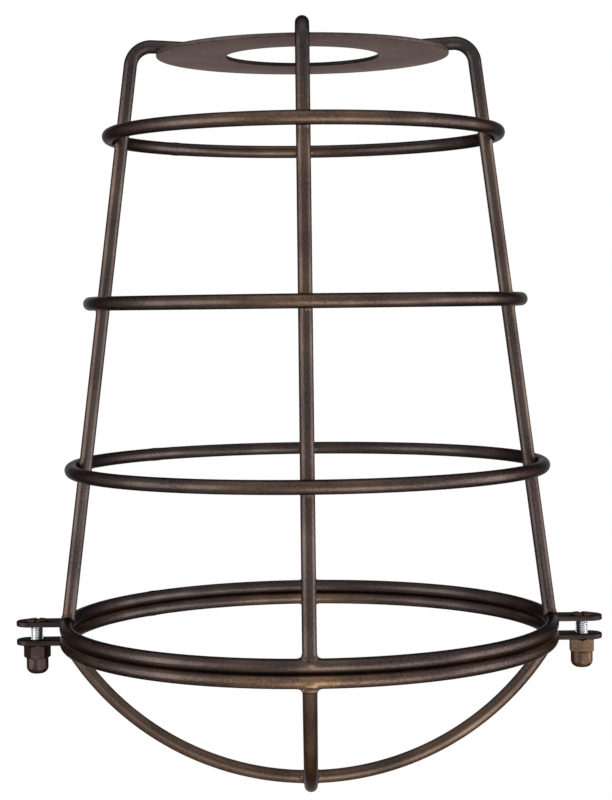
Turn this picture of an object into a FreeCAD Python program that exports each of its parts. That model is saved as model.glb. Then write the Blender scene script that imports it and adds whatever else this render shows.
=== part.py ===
import FreeCAD, Part
import math
import os

import Sketcher

# A wire cage guard for a lamp bulb, made of welded round wire.
# Millimetres, +Z up. The origin is the centre of the hole in the fitter plate, half way
# through its thickness. +X is the right clamp ear, -Y is the front.

DRIVING_SIZES = {
    "wire_diameter": 3.65,      # round wire that everything but the plate and the ears is bent from
    "weld_bite": 0.25,          # how deep two wires sink into each other at a weld
    "plate_diameter": 79.5,     # fitter plate that the lamp socket clamps
    "plate_hole": 41.5,         # opening for the neck of the lamp socket
    "plate_thickness": 1.1,
    "arm_inner_radius": 32.3,   # where the bent-in arm of each leg is cut off
    "shoulder_radius": 46.2,    # where the lines of arm and leg would cross
    "arm_dip": 3.6,             # angle at which the arms slope down towards the plate
    "bend_radius": 5.7,         # centre line of the bend between arm and leg
    "cage_height": 157.0,       # middle of the plate to the plane between the two bottom hoops
    "rim_radius": 66.6,         # centre line of the two bottom hoops
    "hoop_pitch": 45.0,         # height from one hoop to the next
    "hoop_gap": 0.05,           # play between the two bottom hoops
    "bow_drop": 41.6,           # depth of the bows below the plane between the bottom hoops
    "bow_overreach": 0.9,       # how far outside the hoop's centre line the bows arrive
    "tab_thickness": 1.4,
    "tab_width": 7.6,
    "tab_length": 14.2,         # hoop's centre line to the outer end of its clamp ear
    "upper_tab_lift": 0.35,     # middle of an upper ear above the centre of the rim hoop
    "lower_tab_drop": 1.05,     # middle of a lower ear below the centre of the guard hoop
    "screw_inset": 5.6,         # screw's axis from the outer end of the ears
    "screw_diameter": 3.5,
    "screw_clearance": 0.2,     # hole in an ear over the screw
    "head_diameter": 6.1,
    "head_angle": 90.0,         # full angle of the countersunk head
    "slot_width": 0.9,
    "slot_depth": 0.6,
    "thread_engagement": 4.2,   # screw inside the nut
    "thread_clearance": 0.1,    # nut's bore over the screw
    "tip_gap": 0.5,             # bottom of the nut's bore below the tip of the screw
    "nut_across_flats": 6.4,
    "nut_hex_height": 3.8,
    "nut_height": 8.1,
    "nut_bevel": 0.4,           # height that the hexagon's corners are turned down at each end
    "nut_turn_right": 28.0,     # angle of a corner from the ear's length once the nut is tight
    "nut_turn_left": 8.0,
    "dome_diameter": 6.0,
    "dome_rounding": 1.9,       # radius between the dome's side and its flat tip
}

DERIVED_SIZES = {
    "wire_radius": "wire_diameter / 2",
    "weld_reach": "wire_radius - weld_bite",
    "plate_radius": "plate_diameter / 2",
    "plate_hole_radius": "plate_hole / 2",
    # the arms come down on top of the plate, the legs end on top of the rim hoop
    "arm_tip_height": "plate_thickness / 2 + weld_reach",
    "arm_drop": "(shoulder_radius - arm_inner_radius) * tan(arm_dip * 1 deg)",
    "shoulder_height": "arm_tip_height + arm_drop",
    "rim_height": "-cage_height + wire_radius + hoop_gap / 2",
    "guard_height": "-cage_height - wire_radius - hoop_gap / 2",
    "leg_run": "rim_radius - shoulder_radius",
    "leg_fall": "shoulder_height - rim_height",
    "leg_length": "sqrt(leg_run * leg_run + leg_fall * leg_fall)",
    "leg_slope": "leg_run / leg_fall",
    "leg_steepness": "leg_fall / leg_length",
    "leg_lean": "atan(leg_slope)",
    "foot_radius": "rim_radius - weld_reach * leg_run / leg_length",
    "foot_depth": "leg_fall - weld_reach * leg_steepness",
    # three hoops lie round the outside of the legs
    "lower_hoop_height": "-cage_height + hoop_pitch",
    "middle_hoop_height": "-cage_height + 2 * hoop_pitch",
    "upper_hoop_height": "-cage_height + 3 * hoop_pitch",
    "hoop_standoff": "(wire_diameter - weld_bite) / leg_steepness",
    "hoop_reach": "shoulder_radius + shoulder_height * leg_slope + hoop_standoff",
    "lower_hoop_radius": "hoop_reach - lower_hoop_height * leg_slope",
    "middle_hoop_radius": "hoop_reach - middle_hoop_height * leg_slope",
    "upper_hoop_radius": "hoop_reach - upper_hoop_height * leg_slope",
    # the bows are arcs that hang from the underside of the guard hoop
    "bow_half_span": "rim_radius + bow_overreach",
    "bow_sag": "guard_height + cage_height + bow_drop",
    "bow_radius": "(bow_half_span * bow_half_span + bow_sag * bow_sag) / (2 * bow_sag)",
    "bow_centre_height": "-cage_height - bow_drop + bow_radius",
    "bow_weld_angle": "weld_reach / bow_radius * 180 deg / pi",
    "bow_end_angle": "atan(rim_radius / (bow_centre_height - guard_height)) - bow_weld_angle",
    # ears on the two bottom hoops, held together by a screw and an acorn nut on each side
    "tab_half_width": "tab_width / 2",
    "tab_tip_centre": "rim_radius + tab_length - tab_half_width",
    "screw_reach": "rim_radius + tab_length - screw_inset",
    "upper_tab_height": "rim_height + upper_tab_lift",
    "lower_tab_height": "guard_height - lower_tab_drop",
    "upper_tab_top": "upper_tab_height + tab_thickness / 2",
    "nut_seat_height": "lower_tab_height - tab_thickness / 2",
    "screw_radius": "screw_diameter / 2",
    "screw_hole_radius": "screw_radius + screw_clearance / 2",
    "head_radius": "head_diameter / 2",
    "head_cone": "1 / tan(head_angle * 1 deg / 2)",
    "head_depth": "(head_radius - screw_radius) * head_cone",
    "sink_depth": "(head_radius - screw_hole_radius) * head_cone",
    "sink_through": "sink_depth + tab_thickness",
    "screw_length": "upper_tab_top - nut_seat_height + thread_engagement",
    "nut_bore_radius": "screw_radius + thread_clearance / 2",
    "nut_bore_depth": "thread_engagement + tip_gap",
    "nut_corner_radius": "nut_across_flats / sqrt(3)",
    "nut_hex_base": "nut_seat_height - nut_hex_height",
    "nut_bevel_radius": "nut_corner_radius - nut_bevel * sqrt(3)",
    "nut_bevel_end": "nut_hex_height - nut_bevel",
    "dome_radius": "dome_diameter / 2",
}

doc = FreeCAD.newDocument("bulb_cage_guard")
sheet = doc.addObject("Spreadsheet::Sheet", "Sizes")


def fill_sheet():
    """Write each driving size as a number and each derived size as a formula, one to a row."""
    cells = {name: str(value) for name, value in DRIVING_SIZES.items()}
    cells.update({name: "=" + formula for name, formula in DERIVED_SIZES.items()})
    for row, (name, content) in enumerate(cells.items(), start=1):
        sheet.set(f"A{row}", name)
        sheet.set(f"B{row}", content)
        sheet.setAlias(f"B{row}", name)
    doc.recompute()


def size(name):
    """Return a size as a plain number, used only to draw a sketch close to its final shape."""
    value = getattr(sheet, name)
    return getattr(value, "Value", value)


def new_body(name):
    return doc.addObject("PartDesign::Body", name)


def new_sketch(body, plane, name, offsets=None):
    """Put a sketch on one of the body's own origin planes, shifted by sizes along its axes."""
    sketch = body.newObject("Sketcher::SketchObject", name)
    support = next(item for item in body.Origin.OriginFeatures if item.Role == plane)
    sketch.AttachmentSupport = (support, [""])
    sketch.MapMode = "FlatFace"
    for axis, formula in (offsets or {}).items():
        sketch.setExpression(f"AttachmentOffset.Base.{axis}", formula)
    return sketch


def bind(sketch, name, formula, *constraint):
    """Add a named dimension to a sketch and drive it from the sheet."""
    index = sketch.addConstraint(Sketcher.Constraint(*constraint))
    sketch.renameConstraint(index, name)
    sketch.setExpression(f"Constraints.{name}", formula)


def add_circle(sketch, radius, drop=None):
    """Draw a circle on the sketch's vertical axis, at its origin or a driven drop below it."""
    depth = size(drop) if drop else 0.0
    centre = FreeCAD.Vector(0, -depth, 0)
    circle = sketch.addGeometry(Part.Circle(centre, FreeCAD.Vector(0, 0, 1), size(radius)))
    if drop:
        sketch.addConstraint(Sketcher.Constraint("PointOnObject", circle, 3, -2))
        bind(sketch, f"drop_{circle}", f"Sizes.{drop}", "DistanceY", circle, 3, -1, 1, depth)
    else:
        sketch.addConstraint(Sketcher.Constraint("Coincident", circle, 3, -1, 1))
    bind(sketch, f"radius_{circle}", f"Sizes.{radius}", "Radius", circle, size(radius))


def add_half_profile(sketch, corners):
    """Draw a closed polygon on the right of the vertical axis from (radius, drop) size names."""
    points = []
    for radius, drop in corners:
        across = size(radius) if radius else 0.0
        down = size(drop) if drop else 0.0
        points.append(FreeCAD.Vector(across, -down, 0))
    lines = [sketch.addGeometry(Part.LineSegment(start, end))
             for start, end in zip(points, points[1:] + points[:1])]
    for line, following in zip(lines, lines[1:] + lines[:1]):
        sketch.addConstraint(Sketcher.Constraint("Coincident", line, 2, following, 1))
    for line, (radius, drop) in zip(lines, corners):
        if radius:
            bind(sketch, f"radius_{line}", f"Sizes.{radius}", "DistanceX", -1, 1, line, 1, size(radius))
        else:
            sketch.addConstraint(Sketcher.Constraint("PointOnObject", line, 1, -2))
        if drop:
            bind(sketch, f"drop_{line}", f"Sizes.{drop}", "DistanceY", line, 1, -1, 1, size(drop))
        else:
            sketch.addConstraint(Sketcher.Constraint("PointOnObject", line, 1, -1))


def add_turned(body, kind, name, sketch):
    """Revolve or groove a sketch a full turn about its own vertical axis."""
    doc.recompute()
    feature = add_feature(body, kind, name, sketch)
    feature.ReferenceAxis = (sketch, ["V_Axis"])
    feature.Angle = 360
    doc.recompute()
    return feature


def add_feature(body, kind, name, sketch, **formulas):
    """Add a sketch-based feature to a body, drive its sizes and make it the body's tip."""
    feature = body.newObject(f"PartDesign::{kind}", name)
    feature.Profile = sketch
    for attribute, formula in formulas.items():
        feature.setExpression(attribute, formula)
    sketch.Visibility = False
    body.Tip = feature
    return feature


def turn(item, degrees):
    """Turn a piece made on the right, or at the front, about the cage's axis."""
    item.Placement = FreeCAD.Placement(
        FreeCAD.Vector(0, 0, 0), FreeCAD.Rotation(FreeCAD.Vector(0, 0, 1), degrees))


def seat_on(name, blank, seats):
    """Cut the seats that a blank is welded to out of it, so the two meet face to face."""
    tool = seats[0]
    if len(seats) > 1:
        tool = doc.addObject("Part::Compound", f"{name}_seats")
        tool.Links = seats
    cut = doc.addObject("Part::Cut", name)
    cut.Base = blank
    cut.Tool = tool
    return cut


def make_fitter_plate():
    body = new_body("fitter_plate")
    outline = new_sketch(body, "XY_Plane", "plate_outline")
    add_circle(outline, "plate_radius")
    add_circle(outline, "plate_hole_radius")
    pad = add_feature(body, "Pad", "plate_pad", outline, Length="Sizes.plate_thickness")
    pad.Midplane = True
    return body


def make_hoop(name, radius, height):
    """A wire bent to a full circle, with its butt weld half way between two legs."""
    hoop = doc.addObject("Part::Torus", name)
    turn(hoop, 45)
    hoop.setExpression("Radius1", f"Sizes.{radius}")
    hoop.setExpression("Radius2", "Sizes.wire_radius")
    hoop.setExpression("Placement.Base.z", f"Sizes.{height}")
    return hoop


def make_leg(name, degrees, seats):
    """A wire with an arm on the plate, a bend and a straight leg that leans out down to the rim."""
    body = new_body(f"{name}_wire")
    path = new_sketch(body, "XZ_Plane", f"{name}_path", {"y": "Sizes.shoulder_height"})
    lean = math.radians(size("leg_lean"))
    dip = math.radians(size("arm_dip"))
    setback = size("bend_radius") * math.tan((math.pi / 2 - lean + dip) / 2)
    corner = FreeCAD.Vector(size("shoulder_radius"), 0, 0)
    arm_start = FreeCAD.Vector(size("arm_inner_radius"), -size("arm_drop"), 0)
    arm_end = corner - FreeCAD.Vector(math.cos(dip), math.sin(dip), 0) * setback
    leg_start = corner + FreeCAD.Vector(math.sin(lean), -math.cos(lean), 0) * setback
    leg_end = FreeCAD.Vector(size("foot_radius"), -size("foot_depth"), 0)
    bend_centre = arm_end + FreeCAD.Vector(math.sin(dip), -math.cos(dip), 0) * size("bend_radius")
    bend_circle = Part.Circle(bend_centre, FreeCAD.Vector(0, 0, 1), size("bend_radius"))
    arm = path.addGeometry(Part.LineSegment(arm_start, arm_end))
    bend = path.addGeometry(Part.ArcOfCircle(bend_circle, lean, math.pi / 2 + dip))
    leg = path.addGeometry(Part.LineSegment(leg_start, leg_end))
    shoulder = path.addGeometry(Part.Point(corner), True)
    path.addConstraint(Sketcher.Constraint("Tangent", arm, 2, bend, 2))
    path.addConstraint(Sketcher.Constraint("Tangent", bend, 1, leg, 1))
    path.addConstraint(Sketcher.Constraint("PointOnObject", shoulder, 1, -1))
    path.addConstraint(Sketcher.Constraint("PointOnObject", shoulder, 1, arm))
    path.addConstraint(Sketcher.Constraint("PointOnObject", shoulder, 1, leg))
    bind(path, "arm_inner", "Sizes.arm_inner_radius",
         "DistanceX", -1, 1, arm, 1, size("arm_inner_radius"))
    bind(path, "arm_drop", "Sizes.arm_drop", "DistanceY", arm, 1, -1, 1, size("arm_drop"))
    bind(path, "bend", "Sizes.bend_radius", "Radius", bend, size("bend_radius"))
    bind(path, "foot_out", "Sizes.foot_radius", "DistanceX", -1, 1, leg, 2, size("foot_radius"))
    bind(path, "foot_down", "Sizes.foot_depth", "DistanceY", leg, 2, -1, 1, size("foot_depth"))
    bind(path, "shoulder", "Sizes.shoulder_radius",
         "DistanceX", -1, 1, shoulder, 1, size("shoulder_radius"))

    section = new_sketch(body, "YZ_Plane", f"{name}_section",
                         {"y": "Sizes.arm_tip_height", "z": "Sizes.arm_inner_radius"})
    section.AttachmentOffset = FreeCAD.Placement(
        FreeCAD.Vector(0, 0, 0), FreeCAD.Rotation(FreeCAD.Vector(-1, 0, 0), size("arm_dip")))
    section.setExpression("AttachmentOffset.Rotation.Angle", "Sizes.arm_dip")
    add_circle(section, "wire_radius")
    doc.recompute()
    pipe = add_feature(body, "AdditivePipe", f"{name}_pipe", section)
    pipe.Spine = (path, ["Edge1", "Edge2", "Edge3"])
    path.Visibility = False
    turn(body, degrees)
    return seat_on(name, body, seats)


def make_side_bow(name, guard_hoop):
    """An arc of wire from the left to the right underside of the guard hoop, the same each way."""
    body = new_body(f"{name}_wire")
    section = new_sketch(body, "YZ_Plane", f"{name}_section", {"y": "Sizes.bow_centre_height"})
    add_circle(section, "wire_radius", drop="bow_radius")
    doc.recompute()
    arc = add_feature(body, "Revolution", f"{name}_arc", section, Angle="Sizes.bow_end_angle")
    arc.ReferenceAxis = (section, ["H_Axis"])
    doc.recompute()
    other_half = body.newObject("PartDesign::Mirrored", f"{name}_other_half")
    other_half.Originals = [arc]
    other_half.MirrorPlane = section.AttachmentSupport[0]
    other_half.Refine = False
    body.Tip = other_half
    return seat_on(name, body, [guard_hoop])


def make_half_bow(name, degrees, guard_hoop, side_bow):
    """Half an arc of wire, from the guard hoop to the side of the bow that crosses below it."""
    body = new_body(f"{name}_wire")
    section = new_sketch(body, "XZ_Plane", f"{name}_section", {"y": "Sizes.bow_centre_height"})
    add_circle(section, "wire_radius", drop="bow_radius")
    doc.recompute()
    arc = add_feature(body, "Revolution", f"{name}_arc", section, Angle="Sizes.bow_end_angle")
    arc.ReferenceAxis = (section, ["H_Axis"])
    arc.Reversed = True
    doc.recompute()
    cut_off = new_sketch(body, "XZ_Plane", f"{name}_cut_off", {"y": "Sizes.bow_centre_height"})
    add_circle(cut_off, "wire_diameter", drop="bow_radius")
    square_end = add_feature(body, "Pocket", f"{name}_square_end", cut_off, Length="Sizes.weld_reach")
    square_end.Reversed = True
    turn(body, degrees)
    return seat_on(name, body, [guard_hoop, side_bow])


def make_tab(name, degrees, height, hoop, countersunk):
    """A flat clamp ear with a round end, coped to the outside of its hoop."""
    body = new_body(f"{name}_plate")
    outline = new_sketch(body, "XY_Plane", f"{name}_outline", {"z": f"Sizes.{height}"})
    root = size("rim_radius")
    tip = size("tab_tip_centre")
    half = size("tab_half_width")
    up = FreeCAD.Vector(0, 0, 1)
    near = outline.addGeometry(
        Part.LineSegment(FreeCAD.Vector(root, -half, 0), FreeCAD.Vector(tip, -half, 0)))
    end = outline.addGeometry(Part.ArcOfCircle(
        Part.Circle(FreeCAD.Vector(tip, 0, 0), up, half), -math.pi / 2, math.pi / 2))
    far = outline.addGeometry(
        Part.LineSegment(FreeCAD.Vector(tip, half, 0), FreeCAD.Vector(root, half, 0)))
    inner = outline.addGeometry(
        Part.LineSegment(FreeCAD.Vector(root, half, 0), FreeCAD.Vector(root, -half, 0)))
    outline.addConstraint(Sketcher.Constraint("Tangent", near, 2, end, 1))
    outline.addConstraint(Sketcher.Constraint("Tangent", end, 2, far, 1))
    outline.addConstraint(Sketcher.Constraint("Coincident", far, 2, inner, 1))
    outline.addConstraint(Sketcher.Constraint("Coincident", inner, 2, near, 1))
    outline.addConstraint(Sketcher.Constraint("Horizontal", near))
    outline.addConstraint(Sketcher.Constraint("Horizontal", far))
    outline.addConstraint(Sketcher.Constraint("Vertical", inner))
    outline.addConstraint(Sketcher.Constraint("PointOnObject", end, 3, -1))
    bind(outline, "root", "Sizes.rim_radius", "DistanceX", -1, 1, inner, 1, root)
    bind(outline, "tip", "Sizes.tab_tip_centre", "DistanceX", -1, 1, end, 3, tip)
    bind(outline, "half_width", "Sizes.tab_half_width", "Radius", end, half)
    pad = add_feature(body, "Pad", f"{name}_pad", outline, Length="Sizes.tab_thickness")
    pad.Midplane = True
    doc.recompute()

    top = f"Sizes.{height} + Sizes.tab_thickness / 2"
    bore = new_sketch(body, "XZ_Plane", f"{name}_bore", {"x": "Sizes.screw_reach", "y": top})
    mouth = "head_radius" if countersunk else "screw_hole_radius"
    corners = [(None, None), (mouth, None), ("screw_hole_radius", "sink_depth"),
               ("screw_hole_radius", "sink_through"), (None, "sink_through")]
    add_half_profile(bore, corners)
    add_turned(body, "Groove", f"{name}_hole", bore)
    turn(body, degrees)
    return seat_on(name, body, [hoop])


def make_screw(name, degrees):
    """A countersunk slotted screw, flush with the upper ear."""
    body = new_body(name)
    profile = new_sketch(body, "XZ_Plane", f"{name}_profile",
                         {"x": "Sizes.screw_reach", "y": "Sizes.upper_tab_top"})
    add_half_profile(profile, [(None, None), ("head_radius", None), ("screw_radius", "head_depth"),
                               ("screw_radius", "screw_length"), (None, "screw_length")])
    add_turned(body, "Revolution", f"{name}_turned", profile)
    slot = new_sketch(body, "XZ_Plane", f"{name}_slot",
                      {"x": "Sizes.screw_reach", "y": "Sizes.upper_tab_top"})
    half = size("slot_width") / 2
    depth = size("slot_depth")
    corners = [FreeCAD.Vector(-half, 0, 0), FreeCAD.Vector(half, 0, 0),
               FreeCAD.Vector(half, -depth, 0), FreeCAD.Vector(-half, -depth, 0)]
    for index in range(4):
        slot.addGeometry(Part.LineSegment(corners[index], corners[(index + 1) % 4]))
    for index in range(4):
        slot.addConstraint(Sketcher.Constraint("Coincident", index, 2, (index + 1) % 4, 1))
    slot.addConstraint(Sketcher.Constraint("Symmetric", 0, 1, 0, 2, -1, 1))
    slot.addConstraint(Sketcher.Constraint("Horizontal", 0))
    slot.addConstraint(Sketcher.Constraint("Vertical", 1))
    slot.addConstraint(Sketcher.Constraint("Vertical", 3))
    slot.addConstraint(Sketcher.Constraint("Horizontal", 2))
    bind(slot, "width", "Sizes.slot_width", "DistanceX", 0, 1, 0, 2, size("slot_width"))
    bind(slot, "depth", "Sizes.slot_depth", "DistanceY", 1, 2, 1, 1, depth)
    cut = add_feature(body, "Pocket", f"{name}_slot_cut", slot, Length="2 * Sizes.head_diameter")
    cut.Midplane = True
    turn(body, degrees)
    return body


def make_acorn_nut(name, degrees, tightened):
    """A hexagon nut closed by a dome, drawn up tight against the lower ear."""
    body = new_body(name)
    level = next(item for item in body.Origin.OriginFeatures if item.Role == "XY_Plane")
    hexagon = body.newObject("PartDesign::AdditivePrism", f"{name}_hexagon")
    hexagon.AttachmentSupport = (level, [""])
    hexagon.MapMode = "FlatFace"
    hexagon.AttachmentOffset = FreeCAD.Placement(
        FreeCAD.Vector(0, 0, 0), FreeCAD.Rotation(FreeCAD.Vector(0, 0, 1), size(tightened)))
    hexagon.Polygon = 6
    hexagon.setExpression("AttachmentOffset.Rotation.Angle", f"Sizes.{tightened}")
    hexagon.setExpression("AttachmentOffset.Base.x", "Sizes.screw_reach")
    hexagon.setExpression("AttachmentOffset.Base.z", "Sizes.nut_hex_base")
    hexagon.setExpression("Circumradius", "Sizes.nut_corner_radius")
    hexagon.setExpression("Height", "Sizes.nut_hex_height")
    body.Tip = hexagon
    doc.recompute()

    seat = {"x": "Sizes.screw_reach", "y": "Sizes.nut_seat_height"}
    bevels = new_sketch(body, "XZ_Plane", f"{name}_bevels", seat)
    add_half_profile(bevels, [("nut_bevel_radius", None), ("nut_corner_radius", None),
                              ("nut_corner_radius", "nut_bevel")])
    add_half_profile(bevels, [("nut_bevel_radius", "nut_hex_height"),
                              ("nut_corner_radius", "nut_bevel_end"),
                              ("nut_corner_radius", "nut_hex_height")])
    add_turned(body, "Groove", f"{name}_turned_ends", bevels)

    profile = new_sketch(body, "XZ_Plane", f"{name}_dome_profile", seat)
    add_half_profile(profile, [(None, "nut_hex_height"), ("dome_radius", "nut_hex_height"),
                               ("dome_radius", "nut_height"), (None, "nut_height")])
    dome = add_turned(body, "Revolution", f"{name}_dome", profile)
    rounding = body.newObject("PartDesign::Fillet", f"{name}_rounding")
    heights = [edge.BoundBox.Center.z for edge in dome.Shape.Edges]
    rounding.Base = (dome, [f"Edge{heights.index(min(heights)) + 1}"])
    rounding.setExpression("Radius", "Sizes.dome_rounding")
    body.Tip = rounding
    doc.recompute()

    mouth = new_sketch(body, "XY_Plane", f"{name}_mouth",
                       {"x": "Sizes.screw_reach", "z": "Sizes.nut_seat_height"})
    add_circle(mouth, "nut_bore_radius")
    add_feature(body, "Pocket", f"{name}_bore", mouth, Length="Sizes.nut_bore_depth")
    turn(body, degrees)
    return body


def make_cage():
    """Build every piece and return them in the order in which the cage is put together."""
    plate = make_fitter_plate()
    hoops = [make_hoop("hoop_upper", "upper_hoop_radius", "upper_hoop_height"),
             make_hoop("hoop_middle", "middle_hoop_radius", "middle_hoop_height"),
             make_hoop("hoop_lower", "lower_hoop_radius", "lower_hoop_height")]
    rim = make_hoop("rim_hoop", "rim_radius", "rim_height")
    guard = make_hoop("guard_hoop", "rim_radius", "guard_height")
    seats = [plate] + hoops + [rim]
    legs = [make_leg(f"leg_{side}", degrees, seats)
            for side, degrees in (("right", 0), ("back", 90), ("left", 180), ("front", 270))]
    side_bow = make_side_bow("bow_side", guard)
    half_bows = [make_half_bow(f"bow_{side}", degrees, guard, side_bow)
                 for side, degrees in (("front", 0), ("back", 180))]
    clamps = []
    for side, degrees in (("right", 0), ("left", 180)):
        clamps.append(make_tab(f"upper_tab_{side}", degrees, "upper_tab_height", rim, True))
        clamps.append(make_tab(f"lower_tab_{side}", degrees, "lower_tab_height", guard, False))
        clamps.append(make_screw(f"screw_{side}", degrees))
        clamps.append(make_acorn_nut(f"acorn_nut_{side}", degrees, f"nut_turn_{side}"))
    return [plate] + legs + hoops + [rim, guard, side_bow] + half_bows + clamps


def check(pieces):
    """Stop the build if an object failed or a piece is not one sound solid."""
    for item in doc.Objects:
        if "Invalid" in item.State or "Error" in item.State:
            raise RuntimeError(f"{item.Name} did not compute")
    for piece in pieces:
        shape = piece.Shape
        if shape.isNull() or not shape.isValid() or len(shape.Solids) != 1:
            raise RuntimeError(f"{piece.Label} is not one sound solid")


fill_sheet()
cage = make_cage()
doc.recompute()
check(cage)
os.makedirs("parts", exist_ok=True)
for piece in cage:
    piece.Shape.exportStep(f"parts/{piece.Label}.step")
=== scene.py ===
import bpy
import numpy as np
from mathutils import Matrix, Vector


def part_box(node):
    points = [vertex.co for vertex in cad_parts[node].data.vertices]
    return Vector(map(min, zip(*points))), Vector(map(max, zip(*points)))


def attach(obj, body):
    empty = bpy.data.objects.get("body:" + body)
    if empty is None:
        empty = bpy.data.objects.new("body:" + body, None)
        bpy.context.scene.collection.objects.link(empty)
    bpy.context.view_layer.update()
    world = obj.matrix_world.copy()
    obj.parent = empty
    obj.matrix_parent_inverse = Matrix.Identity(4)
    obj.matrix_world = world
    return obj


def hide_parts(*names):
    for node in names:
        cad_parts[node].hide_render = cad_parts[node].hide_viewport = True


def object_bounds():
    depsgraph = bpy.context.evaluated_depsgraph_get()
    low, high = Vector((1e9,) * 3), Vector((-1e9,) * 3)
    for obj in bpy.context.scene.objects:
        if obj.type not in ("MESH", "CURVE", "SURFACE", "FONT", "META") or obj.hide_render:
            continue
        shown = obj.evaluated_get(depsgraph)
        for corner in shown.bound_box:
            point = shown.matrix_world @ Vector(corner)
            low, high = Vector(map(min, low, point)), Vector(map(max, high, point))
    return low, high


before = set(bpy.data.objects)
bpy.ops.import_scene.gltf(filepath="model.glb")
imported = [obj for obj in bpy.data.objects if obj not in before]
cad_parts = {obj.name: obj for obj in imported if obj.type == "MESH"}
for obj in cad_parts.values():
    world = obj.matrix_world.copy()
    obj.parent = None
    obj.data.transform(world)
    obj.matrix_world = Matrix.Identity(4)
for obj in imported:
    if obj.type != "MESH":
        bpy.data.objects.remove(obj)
cad_low, cad_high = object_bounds()

# Fitter plate: a flat ring stamped from sheet steel, clamped by the lamp socket that goes through
# its hole. The press leaves its edges slightly rounded. Its finish is the same dark oil-rubbed
# bronze as on the wire: a thin dark coating over copper plate, wiped back by hand.
MM = 0.001
PLATE_HOLE_RADIUS = 20.75 * MM
PLATE_EDGE_ROUNDING = 0.3 * MM
PLATE_COLUMNS = 180
CORNER_STEPS = 7
SHARP_ANGLE = np.radians(38.0)
CLOUD_SIZE = 14.0 * MM
PEEL_SIZE = 0.6 * MM
HAZE_COLOUR = "#4C4846"
COPPER_COLOUR = "#8A6B50"
OIL_AND_SHADE_COLOUR = "#110D0C"
# wear of the plate: thin coating on its faces, and painted shade, nearly black, on the walls of its
# hole and its rim
PLATE_FACE_WEAR = 0.15
PLATE_HOLE_SHADE = -0.9
PLATE_RIM_SHADE = -0.35


def add_piece(name, skins, material, loop=False):
    """Make one object from closed skins, each a grid of points and a grid of wear.

    A grid's rows are rings, counter-clockwise seen with the rows coming towards the eye. Each
    point is joined to the next one on its ring and to its twin on the next ring. In a loop the
    last ring is joined to the first, and otherwise the middle of each end ring closes the skin.
    The UV map holds millimetres along the rows and millimetres round the rings. Wear is 1 where the
    coating is rubbed to copper brown, 0 where it is whole and -1 where it is dark with oil. The
    same values also paint highlights and light in copper brown, and painted shade in nearly black.
    """
    points, wear_and_painted_light, faces, runs = [], [], [], []
    start = 0
    for grid, wear_and_light in skins:
        rows, columns = grid.shape[:2]
        ring = np.arange(rows + 1) % rows if loop else np.arange(rows)
        column = np.arange(columns + 1) % columns
        number = start + ring[:, None] * columns + column
        along_steps = np.linalg.norm(np.diff(grid[ring], axis=0), axis=2).mean(axis=1)
        around_steps = np.linalg.norm(np.diff(grid[:, column], axis=1), axis=2).max(axis=0)
        along = np.append(0.0, np.cumsum(along_steps)) / MM
        around = np.append(0.0, np.cumsum(around_steps)) / MM
        run = np.stack(np.broadcast_arrays(along[:, None], around), axis=-1)
        faces += np.stack([number[:-1, :-1], number[:-1, 1:], number[1:, 1:], number[1:, :-1]],
                          axis=-1).reshape(-1, 4).tolist()
        runs.append(np.stack([run[:-1, :-1], run[:-1, 1:], run[1:, 1:], run[1:, :-1]],
                             axis=2).reshape(-1, 2))
        points.append(grid.reshape(-1, 3))
        wear_and_painted_light.append(np.broadcast_to(wear_and_light, (rows, columns)).ravel())
        start += rows * columns
        if not loop:
            for end, step in ((0, -1), (rows - 1, 1)):
                middle = np.full(columns, start)
                rim = np.stack([number[end, :-1], number[end, 1:]], axis=-1)[:, ::step]
                rim_run = np.stack([run[end, :-1], run[end, 1:]], axis=1)[:, ::step]
                faces += np.column_stack([middle, rim]).tolist()
                runs.append(np.concatenate([rim_run[:, :1], rim_run], axis=1).reshape(-1, 2))
                points.append(grid[end].mean(axis=0, keepdims=True))
                wear_and_painted_light.append(np.zeros(1))
                start += 1
    mesh = bpy.data.meshes.new(name)
    mesh.from_pydata(np.concatenate(points).tolist(), [], faces)
    mesh.polygons.foreach_set("use_smooth", np.ones(len(mesh.polygons), dtype=bool))
    mesh.set_sharp_from_angle(angle=SHARP_ANGLE)
    mesh.uv_layers.new(name="run").data.foreach_set("uv", np.concatenate(runs).ravel())
    mesh.attributes.new("wear_and_painted_light", "FLOAT", "POINT").data.foreach_set("value", np.concatenate(wear_and_painted_light))
    mesh.materials.append(material)
    piece = bpy.data.objects.new(name, mesh)
    bpy.context.collection.objects.link(piece)
    return piece


def srgb(code):
    """Turn an sRGB hex colour into linear red, green, blue and an alpha of 1."""
    levels = np.array([int(code[at:at + 2], 16) for at in (1, 3, 5)]) / 255.0
    linear = np.where(levels <= 0.04045, levels / 12.92, ((levels + 0.055) / 1.055) ** 2.4)
    return (*linear.tolist(), 1.0)


def add_node(tree, kind, inputs, **settings):
    """Add a node, set its properties, then link each input given a socket and set the others."""
    node = tree.nodes.new(kind)
    for name, value in settings.items():
        setattr(node, name, value)
    for name, value in inputs.items():
        if isinstance(value, bpy.types.NodeSocket):
            tree.links.new(value, node.inputs[name])
        else:
            node.inputs[name].default_value = value
    return node


def new_material(name):
    """An empty node material, and its tree with only the output left in it."""
    material = bpy.data.materials.new(name)
    material.use_nodes = True
    tree = material.node_tree
    tree.nodes.remove(tree.nodes["Principled BSDF"])
    return material, tree


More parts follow.
